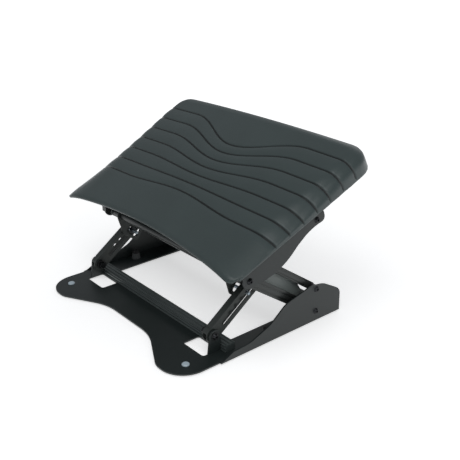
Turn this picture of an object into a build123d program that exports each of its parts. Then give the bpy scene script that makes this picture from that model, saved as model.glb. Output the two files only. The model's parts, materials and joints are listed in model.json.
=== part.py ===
"""Footrest with a pressed steel base, a parallelogram lift, notched prop arms and a tilting ribbed tray."""
from build123d import *
from math import asin, atan2, cos, degrees, hypot, radians, sin, sqrt, tan
import os

os.makedirs("parts", exist_ok=True)

# Clearances, and one overrun for cuts
overrun = 1.0
running_gap = 0.05
side_gap = 0.4
pivot_gap = 0.3

# Sheet steel
sheet = 2.5
channel_sheet = 2.0

# Layers across the footrest on each side, every one placed from the one inside it
hanger_inner = 150.0
hanger_outer = hanger_inner + sheet
hanger_gap = 6.0
arm_width = 12.0
arm_inner = hanger_outer + hanger_gap
arm_outer = arm_inner + arm_width
tab_gap = 1.5
tab_inner = arm_outer + tab_gap
tab_outer = tab_inner + sheet
bar_gap = 5.9
bar_width = 11.6
bar_inner = tab_outer + bar_gap
bar_outer = bar_inner + bar_width
bracket_gap = 2.0
bracket_inner = bar_outer + bracket_gap
bracket_outer = bracket_inner + sheet
side_plate_gap = 5.0
side_inner = bracket_outer + side_plate_gap
side_outer = side_inner + sheet
plate_bend = 0.5
plate_half_width = side_inner - plate_bend

# Base plate, depths measured from the prop arms' pivot
front_reach = 89.0
plate_rear = 244.0
plate_underside = 2.5
plate_top = plate_underside + sheet
waist_reach = 46.0
lobe_width = 58.0
lobe_inner_x = plate_half_width - lobe_width
waist_x = 64.0
lobe_radius = 44.0
shoulder_radius = 34.0
waist_radius = 96.0
window_margin = 39.0
window_half_width = plate_half_width - window_margin
window_front = 40.0
window_rear = 206.0
window_corner = 4.0

# Side plates of the base
side_nose = 12.0
side_nose_height = 13.6
side_low_y = 46.0
side_low_height = 15.8
side_rise_y = 88.0
side_rise_height = 31.5
side_crest_front_y = 120.0
side_crest_front_height = 56.0
side_crest_y = 176.0
side_top = 69.5
side_crest_rear_y = 205.0
side_crest_rear_height = 64.6
side_tail_height = 42.0
side_wide_radius = 40.0

# Tabs that carry the prop arms, and the openings they leave
tab_half_width = 14.0
tab_top_radius = 10.0
tab_opening_width = 51.0
tab_opening_inner = tab_inner - tab_opening_width
tab_opening_front = 21.5
tab_opening_rear = 9.5
arm_pivot_height = 32.7

# Lift linkage, one parallelogram each side
link_rear = 187.0
lower_pivot_height = 20.0
upper_pivot_height = 60.2
link_length = 167.0
link_angle = 35.4
lower_bar_up = 8.8
lower_bar_down = 9.2
lower_bar_nose = 30.0
upper_bar_up = 7.3
upper_bar_down = 5.8
bar_groove_half = 1.5
bar_groove_depth = 1.8
bar_groove_offset = 4.2
bar_groove_end = 16.0
web_inner = bar_inner - side_gap - sheet
web_outer = web_inner + sheet
web_end_rise = 9.0
web_crest_rise = 23.0
web_crest_start = 48.0
web_crest_end = 132.0

# Prop arms
arm_depth = 24.6
arm_back = 12.4
arm_angle = 35.3
arm_tail = 12.0
arm_reach = 115.0
arm_tip_radius = 8.0
slot_drop = 1.2
slot_width = 7.2
slot_start = 21.8
notch_pitch = 13.9
notch_first = 42.7
notch_count = 5
notch_radius = 3.3
notch_rise = 4.0
notch_ramp = 9.8
rest_notch = 3

# Locking rod and the hangers that carry it
rod_radius = 3.0
rod_end = 3.1
rod_half_length = arm_outer + rod_end
hanger_top_radius = 13.0
hanger_window_run = 132.5
hanger_window_drop = 18.7
hanger_window_half_run = 12.8
hanger_window_half_rise = 7.8
hanger_rim = 6.0
clip_radius = 6.5
clip_width = 2.0

# Brackets of the carrier, their points counted from the pivot or rod beside them
bracket_lobe = 13.0
bracket_ear = 9.0
bracket_boss = 8.5
bracket_flange = 10.0
bracket_waist_run = 33.1
bracket_waist_drop = 8.2
bracket_belly_run = 68.1
bracket_belly_rise = 0.8
bracket_haunch_run = 39.0
bracket_haunch_drop = 31.5
bracket_seat_run = 12.0
bracket_seat_drop = 11.6
bracket_tip_run = 20.0
bracket_tip_drop = 4.4
bracket_tip_top_run = 15.0
bracket_tip_top_rise = 11.0
bracket_brow_run = 56.0
bracket_brow_drop = 3.5

# Tray, counted along its slope from a datum just behind its front edge
tray_overhang = 32.0
tray_half_width = side_outer + tray_overhang
tray_depth = 298.0
tray_wall = 3.0
tray_tilt = 27.0
tray_front_lead = 56.1737
tray_front_rise = 4.76
tray_front_y = link_rear - link_length * cos(radians(link_angle)) - tray_front_lead
tray_front_height = upper_pivot_height + link_length * sin(radians(link_angle)) + tray_front_rise
tray_nose = 12.0
front_corner = 10.0
front_bow = 30.0
front_bow_radius = 1430.0
tray_crown = 5.0
crown_radius = 4500.0
front_fall_run = 46.0
front_fall_radius = 260.0
rear_corner = 34.0
rear_roll = 24.0
skirt_front = 8.0
skirt_rear = 42.0
skirt_floor = 70.0
quarter_turn = 90.0
groove_count = 7
groove_width = 2.4
groove_depth = 1.3
groove_first_side = 73.0
groove_pitch_side = 29.5
groove_first_middle = 84.0
groove_pitch_middle = 20.3
wave_half_width = 150.0
groove_lift = 4.0

# Tray pivot and tilt rod, under the tray's skin
tray_pivot_run = 43.9
tray_pivot_drop = 13.6
tilt_rod_run = 181.4
tilt_rod_drop = 74.1

# Frame under the tray
rail_inset = 60.0
rail_outer = tray_half_width - rail_inset
rail_inner = rail_outer - channel_sheet
rail_depth = 16.0
rail_flange = 16.0
rail_front = 30.0
rail_top = tray_wall - tray_crown + crown_radius - sqrt(crown_radius**2 - rail_outer**2)
rail_rear_margin = 36.0
rail_rear = tray_depth - rail_rear_margin
quadrant_inner = rail_outer
quadrant_outer = quadrant_inner + sheet
quadrant_half_width = 9.0
quadrant_foot_half = 31.0
tilt_drop = 18.0
cross_rail_front_run = 30.1
cross_rail_rear_margin = 48.0
cross_rail_front = tray_pivot_run + cross_rail_front_run
cross_rail_rear = rail_rear - cross_rail_rear_margin
cross_rail_half_width = 12.0
cross_rail_height = 8.0

# Fasteners: M6 button heads, hex nuts and plain washers
bolt_radius = 3.0
bolt_hole = bolt_radius + running_gap
head_radius = 5.25
head_crown_radius = 3.2
head_height = 3.3
hex_key_flats = 4.0
hex_key_depth = 2.0
nut_flats = 10.0
nut_height = 5.0
washer_radius = 6.5
washer_height = 1.2
thread_run = 12.0

# Rods, tubes and bushes
lift_tube_radius = 8.0
lift_rear_tube_radius = 8.0
lift_rear_tube_run = 25.0
carrier_tube_radius = 7.0
tilt_rod_radius = 5.0
hinge_rod_radius = 4.0
arm_bush_radius = 8.0
arm_bush_collar = 5.0
spacer_radius = 6.0

# Crossbar, buffers and feet
crossbar_front = 14.0
crossbar_rear = 30.0
crossbar_top = 16.4
crossbar_end = 11.5
crossbar_half_length = tab_outer + crossbar_end
crossbar_toe = 4.0
crossbar_toe_height = 3.0
crossbar_groove_half = 1.0
crossbar_groove_depth = 1.4
crossbar_groove_count = 3
buffer_inset = 7.6
buffer_x = bar_inner + buffer_inset
buffer_y = 94.0
buffer_radius = 8.5
buffer_neck_radius = 6.5
buffer_height = 10.5
buffer_cap_height = 4.5
buffer_cap_radius = 6.0
foot_inset = 28.0
foot_x = plate_half_width - foot_inset
foot_front_reach = 55.0
foot_rear_y = 226.0
foot_radius = 11.0
foot_pin_radius = 6.0
foot_pin_rise = 2.4
foot_stem_radius = 4.0

# The row's origin lies under the middle of the whole footrest
tray_slope = radians(tray_tilt)
rear_reach = tray_front_y + tray_depth * cos(tray_slope) + skirt_rear * sin(tray_slope)
arm_pivot_y = (front_reach - rear_reach) / 2
sides = (-1, 1)
side_names = {-1: "left", 1: "right"}


def at(y):
    """A depth measured from the prop arms' pivot, in the row's frame."""
    return arm_pivot_y + y


def on_link(run, rise, base_height=lower_pivot_height):
    """Depth and height of a point on a link, run forward from its rear pivot."""
    slope = radians(link_angle)
    return (link_rear - run * cos(slope) + rise * sin(slope),
            base_height + run * sin(slope) + rise * cos(slope))


def on_arm(run, rise):
    """Depth and height of a point on a prop arm at rest."""
    slope = radians(arm_angle)
    return run * cos(slope) - rise * sin(slope), arm_pivot_height + run * sin(slope) + rise * cos(slope)


def under_tray(run, rise):
    """Depth and height of a point in the tray's side view."""
    return (tray_front_y + run * cos(tray_slope) - rise * sin(tray_slope),
            tray_front_height + run * sin(tray_slope) + rise * cos(tray_slope))


def layer(side, inner, outer):
    """The lower X of a layer between two half widths on one side."""
    return inner if side > 0 else -outer


def side_view(x, point, angle=0.0):
    """A sketch plane facing +X at a depth and height, its x axis turned up from +Y."""
    slope = radians(angle)
    return Plane(origin=(x, at(point[0]), point[1]), x_dir=(0, cos(slope), sin(slope)), z_dir=(1, 0, 0))


def save(node, name):
    node.part.label = name
    export_step(node.part, f"parts/{name}.step")


lower_pivot = (link_rear, lower_pivot_height)
upper_pivot = (link_rear, upper_pivot_height)
front_pivot = on_link(link_length, 0)
carrier_pivot = on_link(link_length, 0, upper_pivot_height)
rear_tube_point = on_link(lift_rear_tube_run, 0)
arm_pivot = (0, arm_pivot_height)
tray_pivot = under_tray(tray_pivot_run, -tray_pivot_drop)
tilt_point = under_tray(tilt_rod_run, -tilt_rod_drop)
bracket_waist = (front_pivot[0] + bracket_waist_run, front_pivot[1] - bracket_waist_drop)
bracket_belly = (front_pivot[0] + bracket_belly_run, front_pivot[1] + bracket_belly_rise)
bracket_haunch = (tilt_point[0] - bracket_haunch_run, tilt_point[1] - bracket_haunch_drop)
bracket_seat = (tilt_point[0] - bracket_seat_run, tilt_point[1] - bracket_seat_drop)
bracket_tip = (tilt_point[0] + bracket_tip_run, tilt_point[1] - bracket_tip_drop)
bracket_tip_top = (tilt_point[0] + bracket_tip_top_run, tilt_point[1] + bracket_tip_top_rise)
bracket_brow = (tray_pivot[0] + bracket_brow_run, tray_pivot[1] - bracket_brow_drop)
tray_plane = Plane(origin=(0, at(tray_front_y), tray_front_height), x_dir=(1, 0, 0),
                   z_dir=(0, -sin(tray_slope), cos(tray_slope)))
slope_dir = Vector(0, cos(tray_slope), sin(tray_slope))
upright = (0, 0)


def button_bolt(side, head_face, tip, point):
    """An M6 button head bolt from its head's seat inward to its tip."""
    low = layer(side, tip, head_face)
    with BuildSketch(side_view(low, point)) as shank:
        Circle(bolt_radius)
    extrude(shank.sketch, amount=head_face - tip)
    crown = head_face + head_height
    with BuildSketch(side_view(side * head_face, point)) as seat:
        Circle(head_radius)
    with BuildSketch(side_view(side * crown, point)) as top:
        Circle(head_crown_radius)
    loft([seat.sketch.face(), top.sketch.face()])
    with BuildSketch(side_view(layer(side, crown - hex_key_depth, crown + overrun), point)) as key:
        RegularPolygon(radius=hex_key_flats / 2, side_count=6, major_radius=False)
    extrude(key.sketch, amount=hex_key_depth + overrun, mode=Mode.SUBTRACT)


def ring(side, inner, outer, point, radius, hole):
    """A washer, spacer or tube between two half widths."""
    with BuildSketch(side_view(layer(side, inner, outer), point)) as profile:
        Circle(radius)
        Circle(hole, mode=Mode.SUBTRACT)
    extrude(profile.sketch, amount=outer - inner)


def hex_nut(side, inner, point):
    """A hex nut whose inboard face is at a half width."""
    with BuildSketch(side_view(layer(side, inner, inner + nut_height), point)) as profile:
        RegularPolygon(radius=nut_flats / 2, side_count=6, major_radius=False)
        Circle(bolt_radius, mode=Mode.SUBTRACT)
    extrude(profile.sketch, amount=nut_height)


def bore(side, inner, outer, point, radius):
    """A round hole along X through a layer."""
    with BuildSketch(side_view(layer(side, inner - overrun, outer + overrun), point)) as hole:
        Circle(radius)
    extrude(hole.sketch, amount=outer - inner + 2 * overrun, mode=Mode.SUBTRACT)


def cross_tube(point, radius, half_length):
    """A round bar across the footrest, drilled at both ends for its bolts."""
    with BuildSketch(side_view(-half_length, point)) as profile:
        Circle(radius)
    extrude(profile.sketch, amount=2 * half_length)
    for side in sides:
        bore(side, half_length - thread_run + overrun, half_length, point, bolt_radius)


# Base plate with its bent-up tabs and side plates
with BuildPart() as base_plate:
    with BuildSketch(Plane.XY.offset(plate_underside)):
        with BuildLine():
            FilletPolyline(
                (waist_x, at(-waist_reach)), (lobe_inner_x, at(-front_reach)),
                (plate_half_width, at(-front_reach)), (plate_half_width, at(plate_rear)),
                (-plate_half_width, at(plate_rear)), (-plate_half_width, at(-front_reach)),
                (-lobe_inner_x, at(-front_reach)), (-waist_x, at(-waist_reach)), close=True,
                radius=[waist_radius, shoulder_radius, lobe_radius, 0, 0,
                        lobe_radius, shoulder_radius, waist_radius])
        make_face()
        with Locations((0, at((window_front + window_rear) / 2))):
            RectangleRounded(2 * window_half_width, window_rear - window_front, window_corner,
                             mode=Mode.SUBTRACT)
        for side in sides:
            with Locations((side * (tab_opening_inner + tab_inner) / 2,
                            at((tab_opening_rear - tab_opening_front) / 2))):
                RectangleRounded(tab_inner - tab_opening_inner, tab_opening_rear + tab_opening_front,
                                 window_corner, mode=Mode.SUBTRACT)
    extrude(amount=sheet)
    for side in sides:
        with BuildSketch(side_view(layer(side, tab_inner, tab_outer), upright)):
            with BuildLine():
                Polyline(
                    (-tab_half_width, plate_underside), (tab_half_width, plate_underside),
                    (tab_top_radius, arm_pivot_height), (-tab_top_radius, arm_pivot_height), close=True)
            make_face()
            with Locations(arm_pivot):
                Circle(tab_top_radius)
                Circle(bolt_radius, mode=Mode.SUBTRACT)
        extrude(amount=sheet)
        with BuildSketch(side_view(layer(side, side_inner, side_outer), upright)):
            with BuildLine():
                FilletPolyline(
                    (-side_nose, plate_underside), (plate_rear, plate_underside),
                    (plate_rear, side_tail_height), (side_crest_rear_y, side_crest_rear_height),
                    (side_crest_y, side_top), (side_crest_front_y, side_crest_front_height),
                    (side_rise_y, side_rise_height), (side_low_y, side_low_height),
                    (side_nose, side_nose_height), close=True,
                    radius=[0, 0, 0, side_wide_radius, side_wide_radius, side_wide_radius,
                            side_wide_radius, side_wide_radius, 0])
            make_face()
            with Locations(lower_pivot, upper_pivot):
                Circle(bolt_radius, mode=Mode.SUBTRACT)
        extrude(amount=sheet)
        with BuildSketch(Plane.XY.offset(plate_underside)):
            with Locations((side * (plate_half_width + side_outer) / 2, at((plate_rear - side_nose) / 2))):
                Rectangle(side_outer - plate_half_width, plate_rear + side_nose)
        extrude(amount=sheet)
    with BuildSketch(Plane.XY.offset(plate_underside - overrun)):
        with Locations(*[(side * foot_x, at(y)) for side in sides for y in (-foot_front_reach, foot_rear_y)]):
            Circle(foot_stem_radius)
        with Locations(*[(side * buffer_x, at(buffer_y)) for side in sides]):
            Circle(bolt_radius)
    extrude(amount=sheet + 2 * overrun, mode=Mode.SUBTRACT)
save(base_plate, "base_plate")

# Ridged crossbar on the base, just behind the tabs
with BuildPart() as front_crossbar:
    with BuildSketch(side_view(-crossbar_half_length, upright)):
        with BuildLine():
            Polyline(
                (crossbar_front - crossbar_toe, plate_top), (crossbar_rear, plate_top),
                (crossbar_rear, crossbar_top), (crossbar_front, crossbar_top),
                (crossbar_front, plate_top + crossbar_toe_height),
                (crossbar_front - crossbar_toe, plate_top + crossbar_toe_height), close=True)
        make_face()
        ridge_pitch = (crossbar_rear - crossbar_front) / (crossbar_groove_count + 1)
        with Locations(*[(crossbar_front + ridge_pitch * (index + 1), crossbar_top)
                         for index in range(crossbar_groove_count)]):
            Rectangle(2 * crossbar_groove_half, 2 * crossbar_groove_depth, mode=Mode.SUBTRACT)
    extrude(amount=2 * crossbar_half_length)
    tab_slot_rear = tab_half_width + side_gap
    for side in sides:
        with BuildSketch(side_view(layer(side, tab_inner - side_gap, tab_outer + side_gap), upright)):
            with Locations((0, plate_top + crossbar_top)):
                Rectangle(2 * tab_slot_rear, 2 * crossbar_top + 2 * overrun)
        extrude(amount=sheet + 2 * side_gap, mode=Mode.SUBTRACT)
save(front_crossbar, "front_crossbar")

# Buffers on the plate under the links, with darker caps
with BuildPart() as buffers:
    with BuildSketch(Plane.XY.offset(plate_top)):
        with Locations(*[(side * buffer_x, at(buffer_y)) for side in sides]):
            Circle(buffer_radius)
    extrude(amount=buffer_height, taper=10)
    with BuildSketch(Plane.XY.offset(plate_underside)):
        with Locations(*[(side * buffer_x, at(buffer_y)) for side in sides]):
            Circle(bolt_radius)
    extrude(amount=sheet)
save(buffers, "buffers")

with BuildPart() as buffer_caps:
    with BuildSketch(Plane.XY.offset(plate_top + buffer_height)):
        with Locations(*[(side * buffer_x, at(buffer_y)) for side in sides]):
            Circle(buffer_cap_radius)
    extrude(amount=buffer_cap_height)
    chamfer(buffer_caps.faces().group_by(Axis.Z)[-1].edges(), buffer_cap_height / 3)
save(buffer_caps, "buffer_caps")

# Pads under the plate, each with a stem pressed through to a domed pin on top
with BuildPart() as foot_pads:
    with BuildSketch(Plane.XY):
        with Locations(*[(side * foot_x, at(y)) for side in sides for y in (-foot_front_reach, foot_rear_y)]):
            Circle(foot_radius)
    extrude(amount=plate_underside)
save(foot_pads, "foot_pads")

with BuildPart() as foot_pins:
    with BuildSketch(Plane.XY.offset(plate_underside)):
        with Locations(*[(side * foot_x, at(y)) for side in sides for y in (-foot_front_reach, foot_rear_y)]):
            Circle(foot_stem_radius)
    extrude(amount=sheet)
    with BuildSketch(Plane.XY.offset(plate_top)):
        with Locations(*[(side * foot_x, at(y)) for side in sides for y in (-foot_front_reach, foot_rear_y)]):
            Circle(foot_pin_radius)
    extrude(amount=foot_pin_rise)
    chamfer(foot_pins.faces().group_by(Axis.Z)[-1].edges(), foot_pin_rise / 2)
save(foot_pins, "foot_pins")

# Bolts, washers, spacers and nuts of the base's pivots
bush_inner = arm_inner - arm_bush_collar
tab_nut_inner = bush_inner - side_gap - nut_height
base_nut_inner = web_inner - side_gap - nut_height
with BuildPart() as tab_bolts:
    for side in sides:
        button_bolt(side, tab_outer + washer_height, tab_nut_inner, arm_pivot)
save(tab_bolts, "tab_bolts")

with BuildPart() as tab_washers:
    for side in sides:
        ring(side, tab_outer, tab_outer + washer_height, arm_pivot, washer_radius, bolt_radius)
save(tab_washers, "tab_washers")

with BuildPart() as tab_nuts:
    for side in sides:
        hex_nut(side, tab_nut_inner, arm_pivot)
save(tab_nuts, "tab_nuts")

with BuildPart() as base_pivot_bolts:
    for side in sides:
        for point in (lower_pivot, upper_pivot):
            button_bolt(side, side_outer, base_nut_inner, point)
save(base_pivot_bolts, "base_pivot_bolts")

with BuildPart() as base_pivot_spacers:
    for side in sides:
        for point in (lower_pivot, upper_pivot):
            ring(side, bar_outer + side_gap, side_inner, point, spacer_radius, bolt_radius)
save(base_pivot_spacers, "base_pivot_spacers")

with BuildPart() as base_pivot_nuts:
    for side in sides:
        for point in (lower_pivot, upper_pivot):
            hex_nut(side, base_nut_inner, point)
save(base_pivot_nuts, "base_pivot_nuts")


def ribbed_bar(side, base, up, down, nose, front_hole, rear_hole):
    """An extruded link, grooved along both faces, with a squared nose beyond its front pivot if asked."""
    with BuildSketch(side_view(layer(side, bar_inner, bar_outer), base, 180 - link_angle)) as profile:
        with Locations((link_length / 2, (down - up) / 2)):
            SlotOverall(link_length + up + down, up + down)
        if nose > 0:
            with BuildLine():
                Polyline(
                    (link_length, -up), (link_length + nose, -up),
                    (link_length + nose - (up + down) * tan(radians(link_angle)), down), (link_length, down),
                    close=True)
            make_face()
        with Locations((0, 0)):
            Circle(rear_hole, mode=Mode.SUBTRACT)
        with Locations((link_length, 0)):
            Circle(front_hole, mode=Mode.SUBTRACT)
    extrude(profile.sketch, amount=bar_outer - bar_inner)
    groove_run = link_length - 2 * bar_groove_end + nose / 2
    for face, inward in ((bar_outer, -bar_groove_depth), (bar_inner, bar_groove_depth)):
        low = min(face + inward, face - inward)
        groove_layer = layer(side, low, low + 2 * bar_groove_depth)
        with BuildSketch(side_view(groove_layer, base, 180 - link_angle)) as grooves:
            with Locations(*[(bar_groove_end + groove_run / 2, (down - up) / 2 + offset)
                             for offset in (bar_groove_offset, -bar_groove_offset)]):
                Rectangle(groove_run, 2 * bar_groove_half)
        extrude(grooves.sketch, amount=2 * bar_groove_depth, mode=Mode.SUBTRACT)


# Lift frame: webs, lower bars, two cross tubes, hangers and the front pivots
for side in sides:
    with BuildPart() as lower_bar:
        ribbed_bar(side, lower_pivot, lower_bar_up, lower_bar_down, lower_bar_nose, bolt_radius, bolt_hole)
    save(lower_bar, f"lower_bar_{side_names[side]}")

    with BuildPart() as lift_web:
        with BuildSketch(side_view(layer(side, web_inner, web_outer), lower_pivot, 180 - link_angle)):
            with BuildLine():
                Polyline(
                    (0, lower_bar_down), (link_length, lower_bar_down), (link_length, -web_end_rise),
                    (web_crest_end, -web_crest_rise), (web_crest_start, -web_crest_rise),
                    (0, -web_end_rise), close=True)
            make_face()
            with Locations((0, 0), (link_length, 0)):
                Circle(lower_bar_down)
            with Locations((0, 0)):
                Circle(bolt_hole, mode=Mode.SUBTRACT)
            with Locations((link_length, 0)):
                Circle(bolt_radius, mode=Mode.SUBTRACT)
        extrude(amount=sheet)
    save(lift_web, f"lift_web_{side_names[side]}")

    with BuildPart() as hanger:
        with BuildSketch(side_view(layer(side, hanger_inner, hanger_outer), lower_pivot, 180 - link_angle)):
            with Locations((link_length, 0)):
                Circle(hanger_top_radius)
            window_rim_run = hanger_window_half_run + hanger_rim
            window_rim_rise = hanger_window_half_rise + hanger_rim
            with Locations((hanger_window_run, hanger_window_drop)):
                RectangleRounded(2 * window_rim_run, 2 * window_rim_rise, hanger_rim)
            make_hull()
            with Locations((link_length, 0)):
                Circle(lift_tube_radius, mode=Mode.SUBTRACT)
            with Locations((hanger_window_run, hanger_window_drop)):
                RectangleRounded(2 * hanger_window_half_run, 2 * hanger_window_half_rise, window_corner,
                                 mode=Mode.SUBTRACT)
        extrude(amount=sheet)
    save(hanger, f"rod_hanger_{side_names[side]}")

with BuildPart() as front_cross_tube:
    cross_tube(front_pivot, lift_tube_radius, web_inner)
save(front_cross_tube, "front_cross_tube")

with BuildPart() as rear_cross_tube:
    cross_tube(rear_tube_point, lift_rear_tube_radius, web_inner)
save(rear_cross_tube, "rear_cross_tube")

with BuildPart() as front_pivot_bolts:
    for side in sides:
        button_bolt(side, bracket_outer + side_gap, web_inner - thread_run, front_pivot)
save(front_pivot_bolts, "front_pivot_bolts")

# Upper links
for side in sides:
    with BuildPart() as upper_bar:
        ribbed_bar(side, upper_pivot, upper_bar_up, upper_bar_down, 0, bolt_radius + pivot_gap, bolt_hole)
    save(upper_bar, f"upper_bar_{side_names[side]}")

# Carrier: brackets, front tube with its bolts, tilt rod with its screws
for side in sides:
    with BuildPart() as bracket:
        with BuildSketch(side_view(layer(side, bracket_inner, bracket_outer), upright)):
            with BuildLine():
                Polyline(
                    front_pivot, bracket_waist, bracket_belly, bracket_haunch, bracket_seat,
                    bracket_tip, bracket_tip_top, bracket_brow, tray_pivot, close=True)
            make_face()
            with BuildLine():
                Polyline(
                    (front_pivot[0] - bracket_lobe, front_pivot[1]),
                    (front_pivot[0], front_pivot[1] - bracket_lobe),
                    bracket_waist, bracket_brow, (tray_pivot[0], tray_pivot[1] + bracket_ear),
                    (tray_pivot[0] - bracket_ear, tray_pivot[1]), close=True)
            make_face()
            with Locations(front_pivot):
                Circle(bracket_lobe)
            with Locations(tray_pivot):
                Circle(bracket_ear)
            with Locations(tilt_point):
                Circle(bracket_boss)
            with Locations(front_pivot):
                Circle(bolt_hole, mode=Mode.SUBTRACT)
            with Locations(carrier_pivot, tilt_point):
                Circle(bolt_radius, mode=Mode.SUBTRACT)
            with Locations(tray_pivot):
                Circle(hinge_rod_radius + running_gap, mode=Mode.SUBTRACT)
        extrude(amount=sheet)
        with BuildSketch(side_view(layer(side, bracket_inner - bracket_flange, bracket_inner), upright)):
            with BuildLine():
                brow = Line(bracket_brow, bracket_tip_top)
                low_brow = Line((bracket_brow[0], bracket_brow[1] - sheet),
                                (bracket_tip_top[0], bracket_tip_top[1] - sheet))
                Line(brow @ 0, low_brow @ 0)
                Line(brow @ 1, low_brow @ 1)
            make_face()
        extrude(amount=bracket_flange)
    save(bracket, f"bracket_{side_names[side]}")

with BuildPart() as carrier_front_tube:
    cross_tube(carrier_pivot, carrier_tube_radius, bar_inner - side_gap)
save(carrier_front_tube, "carrier_front_tube")

with BuildPart() as carrier_tube_bolts:
    for side in sides:
        button_bolt(side, bracket_outer, bar_inner - side_gap - thread_run, carrier_pivot)
save(carrier_tube_bolts, "carrier_tube_bolts")

with BuildPart() as tilt_rod:
    cross_tube(tilt_point, tilt_rod_radius, bracket_inner)
save(tilt_rod, "tilt_rod")

with BuildPart() as tilt_rod_screws:
    for side in sides:
        button_bolt(side, bracket_outer, bracket_inner - thread_run, tilt_point)
save(tilt_rod_screws, "tilt_rod_screws")

with BuildPart() as tilt_washers:
    for side in sides:
        for inner in (quadrant_inner - side_gap - washer_height, quadrant_outer + side_gap):
            ring(side, inner, inner + washer_height, tilt_point, tilt_rod_radius + sheet, tilt_rod_radius)
save(tilt_washers, "tilt_washers")


def tray_section(run, inset, touch, fall_radius, sweep):
    """The tray's section at a run: a crowned top, arcs from touch to sweep angle, straight sides."""
    half = tray_half_width - inset
    centre_x = (crown_radius - fall_radius) * sin(touch)
    centre_rise = tray_crown - crown_radius + (crown_radius - fall_radius) * cos(touch)
    radius = fall_radius - inset
    place = Plane(origin=tray_plane.origin + slope_dir * run, x_dir=(1, 0, 0), z_dir=-slope_dir)
    with BuildSketch(place) as section:
        with BuildLine():
            bend = [(centre_x + radius * sin(angle), centre_rise + radius * cos(angle))
                    for angle in (touch, (touch + sweep) / 2, sweep)]
            mirrored = [(-x, rise) for x, rise in bend]
            ThreePointArc(mirrored[0], (0, tray_crown - inset), bend[0])
            for points, side in ((bend, 1), (mirrored, -1)):
                ThreePointArc(*points)
                Line(points[-1], (side * half, -skirt_floor))
            Line((-half, -skirt_floor), (half, -skirt_floor))
        make_face()
    return section.sketch.face()


def tray_block(inset):
    """The tray's body, or its inside at an inset: rolled sides and rear that fade to a plain front edge."""
    half = tray_half_width - inset
    join = tray_depth - 2 * rear_corner
    rear = tray_depth - inset
    corner = rear_corner - inset
    with BuildSketch(tray_plane.offset(-skirt_floor)) as plan:
        with BuildLine():
            FilletPolyline((half, join), (half, rear), (-half, rear), (-half, join), close=True,
                           radius=[0, corner, corner, 0])
        make_face()
    extrude(plan.sketch, amount=skirt_floor + tray_crown)
    place = Plane(origin=tray_plane.origin + slope_dir * (join - overrun), x_dir=(1, 0, 0), z_dir=-slope_dir)
    with BuildSketch(place) as crown:
        with Locations((0, tray_crown - crown_radius)):
            Circle(crown_radius - inset)
    extrude(crown.sketch, amount=-(tray_depth - join + 2 * overrun), mode=Mode.INTERSECT)
    top = faces().filter_by(GeomType.CYLINDER).sort_by(SortBy.AREA)[-1]
    fillet(top.edges().sort_by(Axis(tray_plane.origin, slope_dir))[1:], rear_roll - inset)
    front_touch = asin((tray_half_width - front_fall_run) / crown_radius)
    rear_touch = asin((tray_half_width - rear_roll) / (crown_radius - rear_roll))
    front_centre = (crown_radius - front_fall_radius) * sin(front_touch)
    front_sweep = asin((half - front_centre) / (front_fall_radius - inset))
    loft([tray_section(-tray_nose - overrun, inset, front_touch, front_fall_radius, front_sweep),
          tray_section(join, inset, rear_touch, rear_roll, radians(quarter_turn))], ruled=True)


# Tray: a pressing with a bowed plain front edge and seven waved grooves that run over its sides
with BuildPart() as tray_skin:
    tray_block(0)

with BuildPart() as groove_floor:
    tray_block(groove_depth)

with BuildPart() as tray_inside:
    tray_block(tray_wall)

wave_shares = (0, 0.1, 0.35, 0.68, 0.93, 1)
with BuildPart() as waves:
    with BuildSketch(tray_plane.offset(tray_crown + overrun)):
        for index in range(groove_count):
            side_run = groove_first_side + groove_pitch_side * index
            middle_run = groove_first_middle + groove_pitch_middle * index
            steps = len(wave_shares) - 1
            half_wave = [(wave_half_width * (step / steps - 1), side_run + (middle_run - side_run) * share)
                         for step, share in enumerate(wave_shares)]
            spine = [(-tray_half_width - overrun, side_run)] + half_wave
            spine += [(-x, y) for x, y in reversed(half_wave[:-1])] + [(tray_half_width + overrun, side_run)]
            with BuildLine():
                low = Polyline(*[(x, y - groove_width / 2) for x, y in spine])
                high = Polyline(*[(x, y + groove_width / 2) for x, y in spine])
                Line(low @ 0, high @ 0)
                Line(low @ 1, high @ 1)
            make_face()
    extrude(amount=-skirt_floor - tray_crown)
    with BuildSketch(Plane.YZ.offset(-tray_half_width - overrun)):
        hem = [under_tray(-tray_nose, groove_lift - skirt_front),
               under_tray(tray_depth, groove_lift - skirt_rear),
               under_tray(tray_depth, -2 * skirt_floor), under_tray(-tray_nose, -2 * skirt_floor)]
        with BuildLine():
            Polyline(*[(at(y), z) for y, z in hem], close=True)
        make_face()
    extrude(amount=2 * (tray_half_width + overrun), mode=Mode.SUBTRACT)
    add(groove_floor.part, mode=Mode.SUBTRACT)

with BuildPart() as tray:
    add(tray_skin.part)
    add(tray_inside.part, mode=Mode.SUBTRACT)
    with BuildSketch(tray_plane.offset(tray_crown + overrun)):
        with BuildLine():
            FilletPolyline(
                (tray_half_width, -tray_nose), (tray_half_width, tray_depth + overrun),
                (-tray_half_width, tray_depth + overrun), (-tray_half_width, -tray_nose),
                (0, front_bow - tray_nose), close=True,
                radius=[front_corner, 0, 0, front_corner, front_bow_radius])
        make_face()
    extrude(amount=-(skirt_floor + tray_crown + 2 * overrun), mode=Mode.INTERSECT)
    with BuildSketch(Plane.YZ.offset(-tray_half_width - overrun)):
        hem = [under_tray(-2 * tray_nose, -skirt_front), under_tray(-tray_nose, -skirt_front),
               under_tray(tray_depth, -skirt_rear), under_tray(tray_depth + overrun, -skirt_rear),
               under_tray(tray_depth + overrun, -2 * skirt_floor),
               under_tray(-2 * tray_nose, -2 * skirt_floor)]
        with BuildLine():
            Polyline(*[(at(y), z) for y, z in hem], close=True)
        make_face()
    extrude(amount=2 * (tray_half_width + overrun), mode=Mode.SUBTRACT)
    add(waves.part, mode=Mode.SUBTRACT)
save(tray, "tray")

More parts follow.
